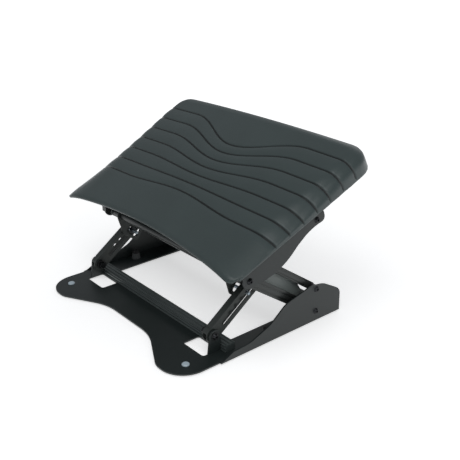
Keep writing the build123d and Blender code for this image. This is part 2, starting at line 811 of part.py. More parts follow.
# Frame under the tray: two rails, two cross rails, two tilt quadrants and the hinge rod
tray_side_view = Plane(origin=(0, at(tray_front_y), tray_front_height),
                       x_dir=(0, cos(tray_slope), sin(tray_slope)), z_dir=(1, 0, 0))
rail_floor = rail_top + rail_depth
quadrant_foot_front = tilt_rod_run - quadrant_foot_half
quadrant_foot_rear = tilt_rod_run + quadrant_foot_half
for side in sides:
    with BuildPart() as rail:
        with BuildSketch(tray_side_view.offset(layer(side, rail_inner, rail_outer))):
            with Locations(((rail_front + rail_rear) / 2, -rail_top - rail_depth / 2)):
                RectangleRounded(rail_rear - rail_front, rail_depth, channel_sheet)
        extrude(amount=channel_sheet)
        with BuildSketch(tray_side_view.offset(layer(side, rail_inner - rail_flange, rail_inner))):
            with Locations(((rail_front + rail_rear) / 2, -rail_top - channel_sheet / 2)):
                Rectangle(rail_rear - rail_front - 2 * channel_sheet, channel_sheet)
        extrude(amount=rail_flange)
        bore(side, rail_inner, rail_outer, tray_pivot, hinge_rod_radius)
    save(rail, f"tray_rail_{side_names[side]}")

    with BuildPart() as quadrant:
        reach = hypot(tilt_point[0] - tray_pivot[0], tilt_point[1] - tray_pivot[1])
        start = degrees(atan2(tilt_point[1] - tray_pivot[1], tilt_point[0] - tray_pivot[0]))
        slot_line = Edge.make_circle(reach, start_angle=start, end_angle=start + tilt_drop)
        with BuildSketch(side_view(layer(side, quadrant_inner, quadrant_outer), tray_pivot)):
            with Locations(slot_line @ 0, slot_line @ 1):
                Circle(quadrant_half_width)
            foot = [under_tray(run, rise)
                    for run, rise in ((quadrant_foot_front, -rail_floor), (quadrant_foot_rear, -rail_floor),
                                      (quadrant_foot_rear, -rail_top - channel_sheet),
                                      (quadrant_foot_front, -rail_top - channel_sheet))]
            with BuildLine():
                Polyline(*[(y - tray_pivot[0], z - tray_pivot[1]) for y, z in foot], close=True)
            make_face()
            make_hull()
            SlotArc(slot_line, 2 * (tilt_rod_radius + side_gap), mode=Mode.SUBTRACT)
        extrude(amount=sheet)
    save(quadrant, f"tilt_quadrant_{side_names[side]}")

for name, run in (("front", cross_rail_front), ("rear", cross_rail_rear)):
    with BuildPart() as cross_rail:
        half = rail_inner - rail_flange
        with BuildSketch(tray_side_view.offset(-half)):
            with Locations((run, -rail_top - cross_rail_height / 2)):
                Rectangle(2 * cross_rail_half_width, cross_rail_height)
            with Locations((run, -rail_top - cross_rail_height / 2 - channel_sheet)):
                Rectangle(2 * (cross_rail_half_width - channel_sheet), cross_rail_height, mode=Mode.SUBTRACT)
        extrude(amount=2 * half)
    save(cross_rail, f"cross_rail_{name}")

with BuildPart() as tray_hinge_rod:
    with BuildSketch(side_view(-bracket_outer - channel_sheet, tray_pivot)):
        Circle(hinge_rod_radius)
    extrude(amount=2 * (bracket_outer + channel_sheet))
save(tray_hinge_rod, "tray_hinge_rod")

# Prop arms: channels with a notched slot through both flanges
for side in sides:
    with BuildPart() as arm:
        arm_front = arm_depth - arm_back
        with BuildSketch(side_view(layer(side, arm_inner, arm_outer), arm_pivot, arm_angle)):
            with BuildLine():
                Polyline(
                    (0, -arm_back), (arm_reach, -arm_back), (arm_reach, arm_front), (0, arm_front),
                    close=True)
            make_face()
            fillet(vertices().group_by(Axis.Z)[-1], arm_tip_radius)
            Circle(arm_back)
        extrude(amount=arm_outer - arm_inner)
        with BuildSketch(side_view(layer(side, arm_inner + channel_sheet, arm_outer - channel_sheet),
                                   arm_pivot, arm_angle)):
            with BuildLine():
                Polyline(
                    (-2 * arm_back, -arm_back - overrun), (arm_reach - channel_sheet, -arm_back - overrun),
                    (arm_reach - channel_sheet, arm_front - channel_sheet),
                    (-2 * arm_back, arm_front - channel_sheet), close=True)
            make_face()
        extrude(amount=arm_outer - arm_inner - 2 * channel_sheet, mode=Mode.SUBTRACT)
        bore(side, arm_inner, arm_outer, arm_pivot, arm_bush_collar)
        slot_layer = layer(side, arm_inner - overrun, arm_outer + overrun)
        with BuildSketch(side_view(slot_layer, arm_pivot, arm_angle)):
            slot_end = notch_first + notch_pitch * (notch_count - 1) + notch_ramp
            with Locations(((slot_start + slot_end) / 2, -slot_drop)):
                SlotOverall(slot_end - slot_start, slot_width)
            for index in range(notch_count):
                run = notch_first + notch_pitch * index
                with BuildLine():
                    Polyline(
                        (run - notch_radius, -slot_drop), (run - notch_radius, notch_rise - slot_drop),
                        (run, notch_rise + notch_radius - slot_drop),
                        (run + notch_ramp - notch_radius, slot_width / 2 - slot_drop),
                        (run + notch_ramp - notch_radius, -slot_drop), close=True)
                make_face()
                with Locations((run, notch_rise - slot_drop)):
                    Circle(notch_radius)
        extrude(amount=arm_outer - arm_inner + 2 * overrun, mode=Mode.SUBTRACT)
    save(arm, f"prop_arm_{side_names[side]}")

    with BuildPart() as arm_bush:
        ring(side, bush_inner, arm_inner, arm_pivot, arm_bush_radius, bolt_hole)
        ring(side, arm_inner, tab_inner - side_gap, arm_pivot, arm_bush_collar, bolt_hole)
    save(arm_bush, f"arm_bush_{side_names[side]}")

# Locking rod through both arms, with a clip beside each arm
rod_point = on_arm(notch_first + notch_pitch * rest_notch, -slot_drop)
with BuildPart() as locking_rod:
    with BuildSketch(side_view(-rod_half_length, rod_point)):
        Circle(rod_radius)
    extrude(amount=2 * rod_half_length)
    chamfer(locking_rod.edges().filter_by(GeomType.CIRCLE), rod_radius / 6)
save(locking_rod, "locking_rod")

with BuildPart() as rod_clips:
    clip_inner = hanger_outer + side_gap
    for side in sides:
        ring(side, clip_inner, clip_inner + clip_width, rod_point, clip_radius, rod_radius)
save(rod_clips, "rod_clips")
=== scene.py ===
"""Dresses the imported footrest: tray skin, coated steel, ribbed links and plated fasteners."""
import json
import math
from collections import namedtuple

import bmesh
import bpy
from bpy.props import FloatProperty, FloatVectorProperty, IntProperty, PointerProperty
from mathutils import Matrix, Vector


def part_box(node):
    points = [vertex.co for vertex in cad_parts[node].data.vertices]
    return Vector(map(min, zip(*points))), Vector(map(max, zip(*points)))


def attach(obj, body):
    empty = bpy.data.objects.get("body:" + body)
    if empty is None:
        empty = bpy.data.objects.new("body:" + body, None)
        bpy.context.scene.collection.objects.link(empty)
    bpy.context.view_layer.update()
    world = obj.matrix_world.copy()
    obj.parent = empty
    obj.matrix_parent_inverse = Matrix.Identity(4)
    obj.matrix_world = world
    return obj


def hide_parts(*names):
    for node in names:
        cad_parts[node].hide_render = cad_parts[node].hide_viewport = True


bl_info = {
    "name": "Adjustable footrest",
    "version": (1, 0, 0),
    "blender": (4, 5, 0),
    "location": "3D View > Sidebar > Footrest",
    "description": "Dresses an adjustable footrest with a waved tray over a folding steel lift",
    "category": "Object",
}

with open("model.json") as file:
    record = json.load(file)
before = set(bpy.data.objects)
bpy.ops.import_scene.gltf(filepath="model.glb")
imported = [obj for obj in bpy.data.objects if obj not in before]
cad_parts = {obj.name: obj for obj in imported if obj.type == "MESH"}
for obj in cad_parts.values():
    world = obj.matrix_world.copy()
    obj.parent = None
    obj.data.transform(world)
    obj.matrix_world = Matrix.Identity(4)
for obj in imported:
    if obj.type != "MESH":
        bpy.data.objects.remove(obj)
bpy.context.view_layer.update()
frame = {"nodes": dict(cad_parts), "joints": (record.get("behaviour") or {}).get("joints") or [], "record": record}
nodes = frame["nodes"]
body_nodes = frame["record"]["behaviour"]["bodies"]

# Where the joints turn. The tray's and the camera's depths are counted from the prop arms' pivot
pivots = {joint["name"]: Vector(joint["pos_m"]) for joint in frame["joints"] if "pos_m" in joint}
arm_pivot = pivots["right_arm_turn"]

# Steel pieces whose edges catch the light
edged_nodes = (
    "base_plate", "bracket_left", "bracket_right", "prop_arm_left", "prop_arm_right",
    "lift_web_left", "lift_web_right", "rod_hanger_left", "rod_hanger_right", "lower_bar_left",
    "lower_bar_right", "upper_bar_left", "upper_bar_right")

# Corners of a piece's side view to round: depth, height and radius
corner_roundings = {
    "base": ((0.1489, 0.042, 0.009),),
    "bracket": ((0.1148, 0.1736, 0.009), (0.0828, 0.1664, 0.018), (0.0238, 0.1175, 0.024)),
}

# How near an edge lies to the corner that it is taken for
corner_reach = 0.0004

# A line across the tray lies between two curves, at an offset from each and a share of the way
SkinRow = namedtuple("SkinRow", "before near after far share cut swell")

# A groove's section: share of its half width, and share of its depth
groove_section = (
    (-1.0, 0.0), (-0.7, 0.1), (-0.42, 0.88), (0.0, 1.0), (0.42, 0.88), (0.7, 0.1), (1.0, 0.0))

# How finely the tray's skin is divided: across it, along a strip, along the last strip, round a
# rear corner, down the turn of its edge and down its hem
skin_columns = 120
strip_rows = 8
last_strip_rows = 7
corner_rows = 6
turn_steps = 12
hem_steps = 4

# The steps down the turn and hem between which the front corners' rim is smoothed
rim_steps = range(10, 15)

# The waves' middle is this far to the right of the tray's middle
wave_middle = 0.005

# A groove runs out over this height, and a strip's swell flattens by this share on the side
groove_fade = 0.003
side_flattening = 0.5


class TraySizes(bpy.types.PropertyGroup):
    """Sizes of the tray's skin, counted along its slope from a datum just behind its front edge"""
    slope: FloatProperty(
        name="Slope", description="The tray's rise from front to rear", default=math.radians(27),
        subtype="ANGLE")
    front_y: FloatProperty(
        name="Datum depth", description="The datum behind the prop arms' pivot", default=-0.0053,
        unit="LENGTH")
    front_height: FloatProperty(
        name="Datum height", description="The flat top's height at the datum", default=0.1617,
        unit="LENGTH")
    half_width: FloatProperty(
        name="Half width", description="Middle to the outside of a skirt", default=0.2353,
        unit="LENGTH")
    length: FloatProperty(
        name="Length", description="Datum to the outside of the rear skirt", default=0.2975,
        unit="LENGTH")
    corner: FloatProperty(
        name="Rear corner radius", description="Rounding seen from above", default=0.034,
        unit="LENGTH")
    roll: FloatProperty(
        name="Rear roll", description="Radius from the top into the rear skirt", default=0.024,
        unit="LENGTH")
    fall_run: FloatProperty(
        name="Front fall", description="Width over which the front falls to the sides",
        default=0.056, unit="LENGTH")
    fall_radius: FloatProperty(
        name="Front fall radius", description="Radius of that fall", default=0.2, unit="LENGTH")
    nose: FloatProperty(
        name="Nose", description="How far the front corners lead the datum", default=0.0175,
        unit="LENGTH")
    front_corner: FloatProperty(
        name="Front corner radius", description="Rounding seen from above", default=0.016,
        unit="LENGTH")
    bow: FloatProperty(
        name="Bow", description="Set back of the point where the front's two lines would meet",
        default=0.03, unit="LENGTH")
    bow_radius: FloatProperty(
        name="Bow radius", description="Radius that joins the front's two lines", default=1.43,
        unit="LENGTH")
    crown: FloatProperty(
        name="Crown", description="The top's middle above the datum", default=0.005,
        unit="LENGTH")
    crown_radius: FloatProperty(
        name="Crown radius", description="Radius of the top across the tray", default=4.5,
        unit="LENGTH")
    skirt_front: FloatProperty(
        name="Hem at the front", description="Depth of the hem at the front corners",
        default=0.012, unit="LENGTH")
    skirt_rear: FloatProperty(
        name="Hem at the rear", description="Depth of the hem at the rear", default=0.042,
        unit="LENGTH")
    rim_passes: IntProperty(
        name="Rim smoothing", description="Passes that round the front corners' rim", default=5)
    wall: FloatProperty(
        name="Wall", description="Thickness of the pressing", default=0.003, unit="LENGTH")


class GrooveSizes(bpy.types.PropertyGroup):
    """The waves pressed across the tray"""
    count: IntProperty(name="Grooves", description="How many waves cross the tray", default=7)
    first_side: FloatProperty(
        name="First groove at the sides", description="From the datum", default=0.073,
        unit="LENGTH")
    pitch_side: FloatProperty(
        name="Spacing at the sides", description="Groove to groove", default=0.0295,
        unit="LENGTH")
    first_middle: FloatProperty(
        name="First groove in the middle", description="From the datum", default=0.084,
        unit="LENGTH")
    pitch_middle: FloatProperty(
        name="Spacing in the middle", description="Groove to groove", default=0.0203,
        unit="LENGTH")
    half_wave: FloatProperty(
        name="Half wave", description="Middle to where the groove runs straight again",
        default=0.145, unit="LENGTH")
    half_width: FloatProperty(
        name="Half width", description="Half of a groove's width", default=0.0027, unit="LENGTH")
    depth: FloatProperty(
        name="Depth", description="Depth of a groove", default=0.0026, unit="LENGTH")
    swell: FloatProperty(
        name="Swell", description="How much each strip stands up between its grooves",
        default=0.0009, unit="LENGTH")
    lift: FloatProperty(
        name="End above the hem", description="Where a groove ends on the skirt", default=0.005,
        unit="LENGTH")


class EdgeSizes(bpy.types.PropertyGroup):
    """Rounding of the steel pieces' edges, and the rise of the webs' crests"""
    rounding: FloatProperty(
        name="Edge rounding", description="Softening of an edge", default=0.0005, unit="LENGTH")
    web_crest: FloatProperty(
        name="Web crest", description="Height over the pivots' line where a crest begins",
        default=0.022, unit="LENGTH")
    web_rise: FloatProperty(
        name="Web rise", description="How much a web's crest is lifted", default=0.006,
        unit="LENGTH")


class CrossbarSizes(bpy.types.PropertyGroup):
    """The extrusion across the base"""
    top_grooves: IntProperty(
        name="Top grooves", description="Grooves along the top", default=3)
    front_grooves: IntProperty(
        name="Front grooves", description="Grooves along the front", default=2)
    groove: FloatProperty(
        name="Groove half width", description="Middle of a groove to its edge", default=0.0016,
        unit="LENGTH")
    depth: FloatProperty(
        name="Groove depth", description="Depth of a groove", default=0.0016, unit="LENGTH")
    rounding: FloatProperty(
        name="Edge rounding", description="Softening of an edge", default=0.0004, unit="LENGTH")


class PinSizes(bpy.types.PropertyGroup):
    """The pins in the prop arms' slots"""
    length: FloatProperty(
        name="Length", description="Pin from end to end", default=0.034, unit="LENGTH")
    chamfer: FloatProperty(
        name="Rounding", description="Rounding of a pin's ends", default=0.0008, unit="LENGTH")


class FinishColours(bpy.types.PropertyGroup):
    """Colours of the finishes"""
    tray: FloatVectorProperty(
        name="Tray plastic", description="Slate grey moulding", subtype="COLOR",
        default=(0.047, 0.066, 0.065))
    powder: FloatVectorProperty(
        name="Dark powder coat", description="Base, brackets, cross tubes and tray rails",
        subtype="COLOR", default=(0.015, 0.021, 0.0205))
    arms: FloatVectorProperty(
        name="Arm paint", description="Prop arms and hangers", subtype="COLOR",
        default=(0.03, 0.036, 0.033))
    webs: FloatVectorProperty(
        name="Web paint", description="Plates between the links", subtype="COLOR",
        default=(0.23, 0.26, 0.25))
    extrusion: FloatVectorProperty(
        name="Link extrusion", description="Ribbed links", subtype="COLOR",
        default=(0.045, 0.05, 0.048))
    crossbar: FloatVectorProperty(
        name="Crossbar extrusion", description="Ribbed bar across the base", subtype="COLOR",
        default=(0.07, 0.085, 0.083))
    plating: FloatVectorProperty(
        name="Zinc plating", description="Bolts, nuts, rods and tilt quadrants",
        subtype="COLOR", default=(0.035, 0.037, 0.04))
    pin_plating: FloatVectorProperty(
        name="Pin plating", description="Locking pins", subtype="COLOR",
        default=(0.34, 0.4, 0.44))
    black_steel: FloatVectorProperty(
        name="Black steel", description="Washers", subtype="COLOR",
        default=(0.008, 0.008, 0.009))
    black_plastic: FloatVectorProperty(
        name="Black plastic", description="Spacers and bushes", subtype="COLOR",
        default=(0.006, 0.006, 0.007))
    grey_rubber: FloatVectorProperty(
        name="Grey rubber", description="Bumpers", subtype="COLOR",
        default=(0.1, 0.105, 0.105))
    dark_rubber: FloatVectorProperty(
        name="Dark rubber", description="Bumper caps and foot pads", subtype="COLOR",
        default=(0.012, 0.012, 0.013))
    pins: FloatVectorProperty(
        name="Foot pins", description="Pale plastic domes", subtype="COLOR",
        default=(0.5, 0.6, 0.66))
    floor: FloatVectorProperty(
        name="Floor", description="Pale studio floor", subtype="COLOR",
        default=(0.86, 0.86, 0.86))


class StageSizes(bpy.types.PropertyGroup):
    """Camera and studio"""
    focal: FloatProperty(
        name="Focal length", description="In millimetres on a 36 mm frame", default=58.58)
    floor_half: FloatProperty(
        name="Floor half width", description="Middle to edge of the studio floor", default=30.0,
        unit="LENGTH")


def finish_shader(name, colour, roughness, metallic=0.0, grain=900.0, grain_strength=0.05,
                  mottle=0.08):
    """A node material: a softly mottled colour, and a fine grain in its roughness and bump."""
    finish = bpy.data.materials.get(name) or bpy.data.materials.new(name)
    finish.use_nodes = True
    tree = finish.node_tree
    tree.nodes.clear()
    output = tree.nodes.new("ShaderNodeOutputMaterial")
    shader = tree.nodes.new("ShaderNodeBsdfPrincipled")
    place = tree.nodes.new("ShaderNodeTexCoord")
    cloud = tree.nodes.new("ShaderNodeTexNoise")
    cloud.inputs["Scale"].default_value = 14.0
    cloud.inputs["Detail"].default_value = 5.0
    speck = tree.nodes.new("ShaderNodeTexNoise")
    speck.inputs["Scale"].default_value = grain
    speck.inputs["Detail"].default_value = 3.0
    shade = tree.nodes.new("ShaderNodeValToRGB")
    shade.color_ramp.elements[0].position = 0.3
    shade.color_ramp.elements[1].position = 0.7
    dark = [channel * (1 - mottle) for channel in colour]
    light = [min(1.0, channel * (1 + mottle)) for channel in colour]
    shade.color_ramp.elements[0].color = (*dark, 1)
    shade.color_ramp.elements[1].color = (*light, 1)
    polish = tree.nodes.new("ShaderNodeMapRange")
    polish.inputs["To Min"].default_value = roughness - 0.05
    polish.inputs["To Max"].default_value = roughness + 0.06
    bump = tree.nodes.new("ShaderNodeBump")
    bump.inputs["Strength"].default_value = grain_strength
    bump.inputs["Distance"].default_value = 0.0004
    shader.inputs["Metallic"].default_value = metallic
    link = tree.links.new
    link(place.outputs["Object"], cloud.inputs["Vector"])
    link(place.outputs["Object"], speck.inputs["Vector"])
    link(cloud.outputs["Fac"], shade.inputs["Fac"])
    link(speck.outputs["Fac"], polish.inputs["Value"])
    link(speck.outputs["Fac"], bump.inputs["Height"])
    link(shade.outputs["Color"], shader.inputs["Base Color"])
    link(polish.outputs["Result"], shader.inputs["Roughness"])
    link(bump.outputs["Normal"], shader.inputs["Normal"])
    link(shader.outputs["BSDF"], output.inputs["Surface"])
    return finish


def paint_groove_shade(finish, keep):
    """Paints shade into a finish's colour: darkens it to a share of itself where the attribute groove_shade is 1,
    as painted shade in the grooves.
    """
    tree = finish.node_tree
    shader = next(node for node in tree.nodes if node.type == "BSDF_PRINCIPLED")
    plain = shader.inputs["Base Color"].links[0].from_socket
    depth = tree.nodes.new("ShaderNodeAttribute")
    depth.attribute_name = "groove_shade"
    share = tree.nodes.new("ShaderNodeMapRange")
    share.inputs["To Min"].default_value = 1.0
    share.inputs["To Max"].default_value = keep
    dim = tree.nodes.new("ShaderNodeVectorMath")
    dim.operation = "SCALE"
    link = tree.links.new
    link(depth.outputs["Fac"], share.inputs["Value"])
    link(plain, dim.inputs[0])
    link(share.outputs["Result"], dim.inputs["Scale"])
    link(dim.outputs["Vector"], shader.inputs["Base Color"])


def paint(piece, finish):
    """Gives a piece one finish."""
    piece.data.materials.clear()
    piece.data.materials.append(finish)


def piece_from(name, bm, body, finish):
    """A smooth shaded object from a bmesh, riding on a body."""
    mesh = bpy.data.meshes.new(name)
    bm.to_mesh(mesh)
    bm.free()
    for face in mesh.polygons:
        face.use_smooth = True
    piece = bpy.data.objects.new(name, mesh)
    bpy.context.scene.collection.objects.link(piece)
    paint(piece, finish)
    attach(piece, body)
    return piece


def merged(name):
    """A bmesh of a CAD node with its loose triangles merged into whole faces."""
    bm = bmesh.new()
    bm.from_mesh(nodes[name].data)
    bmesh.ops.remove_doubles(bm, verts=bm.verts, dist=1e-6)
    bmesh.ops.dissolve_limit(bm, angle_limit=math.radians(0.6), verts=bm.verts, edges=bm.edges)
    return bm


def stand_in(name, bm, rounding):
    """A piece in a CAD node's place, on its body and slot, with softened edges."""
    slot = next(
        entry["material_slot"] for entry in frame["record"]["subparts"] if entry["node"] == name)
    body = next(key for key, members in body_nodes.items() if name in members)
    piece = piece_from(name + "_edged", bm, body, bpy.data.materials[slot])
    soft = piece.modifiers.new("Softened edges", "BEVEL")
    soft.width = rounding
    soft.segments = 2
    soft.limit_method = "ANGLE"
    soft.angle_limit = math.radians(40)
    even = piece.modifiers.new("Even shading", "WEIGHTED_NORMAL")
    even.mode = "FACE_AREA"
    even.weight = 100
    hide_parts(name)


class FOOTREST_OT_finishes(bpy.types.Operator):
    """Makes the finishes that the pieces share"""
    bl_idname = "footrest.finishes"
    bl_label = "Finishes"

    def execute(self, context):
        colours = context.scene.footrest_colours
        tray = finish_shader("tray_plastic", colours.tray, 0.36, grain=520, grain_strength=0.35,
                             mottle=0.06)
        # Painted shade: the tray's colour darkens inside its grooves
        paint_groove_shade(tray, 0.12)
        finish_shader("dark_paint", colours.powder, 0.42, grain=1500, grain_strength=0.12,
                      mottle=0.05)
        finish_shader("arm_paint", colours.arms, 0.45, grain=1500, grain_strength=0.1,
                      mottle=0.05)
        finish_shader("web_steel", colours.webs, 0.4, grain=1500, grain_strength=0.08,
                      mottle=0.05)
        finish_shader("bar_extrusion", colours.extrusion, 0.34, metallic=0.4, grain=1800,
                      grain_strength=0.05, mottle=0.06)
        finish_shader("dark_extrusion", colours.crossbar, 0.34, metallic=0.3, grain=1800,
                      grain_strength=0.05)
        finish_shader("zinc_steel", colours.plating, 0.3, metallic=0.9, grain=700,
                      grain_strength=0.06)
        finish_shader("pin_plating", colours.pin_plating, 0.28, metallic=0.6, grain=700,
                      grain_strength=0.05)
        finish_shader("black_steel", colours.black_steel, 0.35, grain=1500, grain_strength=0.06)
        finish_shader("black_plastic", colours.black_plastic, 0.4, grain=1500,
                      grain_strength=0.08)
        finish_shader("grey_rubber", colours.grey_rubber, 0.7, grain=1200, grain_strength=0.15)
        finish_shader("dark_rubber", colours.dark_rubber, 0.65, grain=1200, grain_strength=0.15)
        finish_shader("pale_plastic", colours.pins, 0.35, grain=1200, grain_strength=0.05)
        for entry in frame["record"]["subparts"]:
            paint(nodes[entry["node"]], bpy.data.materials[entry["material_slot"]])
        return {"FINISHED"}


class FOOTREST_OT_tray_skin(bpy.types.Operator):
    """Makes the tray: waved grooves across a pressing that rolls down at the sides and rear"""
    bl_idname = "footrest.tray_skin"
    bl_label = "Tray skin"

    def execute(self, context):
        tray = context.scene.footrest_tray
        wave = context.scene.footrest_grooves
        self.tray, self.wave = tray, wave
        self.rear_corner_s = tray.length - tray.corner
        self.join = tray.length - 2 * tray.corner
        front_touch = math.asin((tray.half_width - tray.fall_run) / tray.crown_radius)
        rear_touch = math.asin((tray.half_width - tray.roll) / (tray.crown_radius - tray.roll))
        self.arcs = (self.arc(front_touch, tray.fall_radius), self.arc(rear_touch, tray.roll))
        self.roll_reach = tray.half_width - tray.crown_radius * math.sin(rear_touch)
        rows = self.rows()
        bm = bmesh.new()
        bmesh.ops.create_grid(
            bm, x_segments=skin_columns, y_segments=len(rows) - 1, size=1.0)
        keep = {name: bm.verts.layers.float.new(name) for name in (
            "out_x", "out_s", "flat_x", "flat_s", "cut", "swell", "groove_shade")}
        line = bm.verts.layers.int.new("line")
        self.lay_top(bm, rows, keep, line)
        self.turn_down(bm, rows, keep, line)
        slope = Matrix.Rotation(tray.slope, 4, "X")
        place = Matrix.Translation((0, arm_pivot.y + tray.front_y, tray.front_height)) @ slope
        bmesh.ops.transform(bm, matrix=place, verts=bm.verts)
        bmesh.ops.recalc_face_normals(bm, faces=bm.faces)
        skin = piece_from("tray_skin", bm, "tray_frame",
                          bpy.data.materials["tray_plastic"])
        wall = skin.modifiers.new("Wall", "SOLIDIFY")
        wall.thickness = tray.wall
        wall.offset = -1
        wall.use_even_offset = True
        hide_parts("tray")
        return {"FINISHED"}

    def lay_top(self, bm, rows, keep, line):
        """Moves the grid's points onto the grooved top, and notes where each edge point faces."""
        wave = self.wave
        for vert in bm.verts:
            across = vert.co.x
            vert[line] = round((vert.co.y + 1) / 2 * (len(rows) - 1))
            row = rows[vert[line]]
            half, turn = self.half_at(row)
            x = across * half
            s = self.along(row, x)
            vert[keep["out_x"]], vert[keep["out_s"]] = 0.0, 1.0
            if abs(across) > 1 - 1 / skin_columns:
                vert[keep["out_x"]] = math.copysign(math.cos(turn), across)
                vert[keep["out_s"]] = math.sin(turn)
            vert[keep["flat_x"]], vert[keep["flat_s"]] = x, s
            vert[keep["cut"]], vert[keep["swell"]] = row.cut, row.swell
            # groove_shade marks where painted shade darkens the colour inside a groove
            vert[keep["groove_shade"]] = row.cut
            height = self.top(x) + row.swell * wave.swell - row.cut * wave.depth
            vert.co = Vector((x, s, height))

    def turn_down(self, bm, rows, keep, line):
        """Extrudes the sides and rear down their turn and hem, and rounds the front corners."""
        tray, wave = self.tray, self.wave
        ring = [e for e in bm.edges if e.is_boundary and any(v[line] > 0 for v in e.verts)]
        steps = [(step / turn_steps, 0.0) for step in range(1, turn_steps + 1)]
        steps += [(1.0, step / hem_steps) for step in range(1, hem_steps + 1)]
        rim = []
        for number, (turn_share, fall_share) in enumerate(steps):
            made = bmesh.ops.extrude_edge_only(bm, edges=ring)["geom"]
            ring = [item for item in made if isinstance(item, bmesh.types.BMEdge)]
            for vert in {v for e in ring for v in e.verts}:
                out = Vector((vert[keep["out_x"]], vert[keep["out_s"]], 0))
                flat_s = vert[keep["flat_s"]]
                spread, sink, lean = self.fall(flat_s, turn_share)
                x = vert[keep["flat_x"]] + out.x * spread
                s = flat_s + out.y * spread if out.y > 0 else self.along(rows[vert[line]], x)
                hem = self.hem(s)
                height = self.top(vert[keep["flat_x"]]) - sink
                height = height * (1 - fall_share) + hem * fall_share
                end = hem + wave.lift
                fade = max(0.0, min(1.0, (height - end) / groove_fade + 0.5))
                # The painted shade in a groove fades out where the groove runs out above the hem
                vert[keep["groove_shade"]] = vert[keep["cut"]] * fade
                push = vert[keep["swell"]] * wave.swell * (1 - side_flattening * math.sin(lean))
                push -= vert[keep["cut"]] * wave.depth * fade
                facing = out * math.sin(lean) + Vector((0, 0, math.cos(lean)))
                vert.co = Vector((x, s, height)) + facing * push
                ahead = flat_s < wave.first_side - 2 * wave.half_width
                if number in rim_steps and ahead and out.y <= 0:
                    rim.append(vert)
        for _ in range(tray.rim_passes):
            bmesh.ops.smooth_vert(bm, verts=rim, factor=0.5, use_axis_x=True, use_axis_z=True)

    def rows(self):
        """The lines across the tray: over each strip, then down and up through each groove."""
        tray, wave = self.tray, self.wave
        rows = []
        last = wave.count
        for index in range(last + 1):
            near = wave.half_width if index > 0 else 0.0
            far = -wave.half_width if index < last else 0.0
            first = 0 if index == 0 else 1
            shares = [step / strip_rows for step in range(first, strip_rows)]
            if index == last:
                start = self.curve(index, tray.half_width) + near
                end = self.curve(index + 1, tray.half_width)
                inner = tray.corner - self.roll_reach
                turns = [math.radians(90 / corner_rows * step) for step in range(corner_rows + 1)]
                spots = [self.rear_corner_s + inner * math.sin(turn) for turn in turns]
                corner_shares = [(spot - start) / (end - start) for spot in spots]
                shares = [corner_shares[0] * step / last_strip_rows
                          for step in range(1, last_strip_rows)] + corner_shares
            for share in shares:
                swell = math.sin(math.pi * share) if 0 < index < last else 0.0
                rows.append(SkinRow(index, near, index + 1, far, share, 0.0, swell))
            if index < last:
                for shift, cut in groove_section:
                    rows.append(SkinRow(index + 1, shift * wave.half_width, index + 1, 0.0, 0.0,
                                        cut, 0.0))
        return rows

    def curve(self, index, x):
        """Place along the slope of the front edge, a groove or the rear roll, at a place across."""
        tray, wave = self.tray, self.wave
        if index == 0:
            lean = math.atan2(tray.bow, tray.half_width)
            tangent = tray.bow_radius * math.sin(lean)
            middle = tray.bow - tray.nose - tray.bow_radius * (1 / math.cos(lean) - 1)
            near = min(abs(x), tangent)
            arc = tray.bow_radius - math.sqrt(tray.bow_radius ** 2 - near ** 2)
            into = max(0.0, min(abs(x), tray.half_width) - tray.half_width + tray.front_corner)
            corner = tray.front_corner - math.sqrt(max(0.0, tray.front_corner ** 2 - into ** 2))
            return middle - arc - math.tan(lean) * max(0.0, abs(x) - tangent) + corner
        if index > wave.count:
            return tray.length - self.roll_reach
        side = wave.first_side + wave.pitch_side * (index - 1)
        middle = wave.first_middle + wave.pitch_middle * (index - 1)
        bell = 0.5 + 0.5 * math.cos(math.pi * min(1.0, abs(x - wave_middle) / wave.half_wave))
        return side + (middle - side) * bell

    def along(self, row, x):
        """Place along the slope of a row at a distance across."""
        before = (self.curve(row.before, x) + row.near) * (1 - row.share)
        return before + (self.curve(row.after, x) + row.far) * row.share

    def mix(self, s):
        """0 at the front edge's flat section and 1 where the section has become the rear's."""
        return max(0.0, min(1.0, (s + self.tray.nose) / (self.join + self.tray.nose)))

    def half_at(self, row):
        """Half width of the top on a row, and the turn of its edge round a rear corner."""
        tray = self.tray
        s = self.along(row, tray.half_width - tray.fall_run)
        if s > self.rear_corner_s:
            inner = tray.corner - self.roll_reach
            turn = math.asin(min(1.0, (s - self.rear_corner_s) / inner))
            return tray.half_width - tray.corner + inner * math.cos(turn), turn
        share = self.mix(s)
        return self.edge(0, 0.0)[0] * (1 - share) + self.edge(1, 0.0)[0] * share, 0.0

    def top(self, x):
        """Height of the crowned top at a distance across."""
        tray = self.tray
        return tray.crown - tray.crown_radius + math.sqrt(tray.crown_radius ** 2 - x ** 2)

    def arc(self, touch, radius):
        """Centre, radius, first and last angle of a side's arc, from the crown to the skirt."""
        tray = self.tray
        reach = tray.crown_radius - radius
        centre_x = reach * math.sin(touch)
        centre_z = tray.crown - tray.crown_radius + reach * math.cos(touch)
        return centre_x, centre_z, radius, touch, math.asin((tray.half_width - centre_x) / radius)

    def edge(self, which, share):
        """Distance across, height and lean at a share of the front's arc or the rear's."""
        centre_x, centre_z, radius, first, last = self.arcs[which]
        lean = first + (last - first) * share
        return centre_x + radius * math.sin(lean), centre_z + radius * math.cos(lean), lean

    def fall(self, s, turn_share):
        """How far the edge has spread and sunk at a share of its turn, and its lean there."""
        share = self.mix(s)
        start, here = [
            [near * (1 - share) + far * share
             for near, far in zip(self.edge(0, part), self.edge(1, part))]
            for part in (0.0, turn_share)]
        return here[0] - start[0], start[1] - here[1], here[2]

    def hem(self, s):
        """Height of the hem, below 0 because the flat top is at 0."""
        tray = self.tray
        share = (s + tray.nose) / (tray.length + tray.nose)
        return -tray.skirt_front * (1 - share) - tray.skirt_rear * share


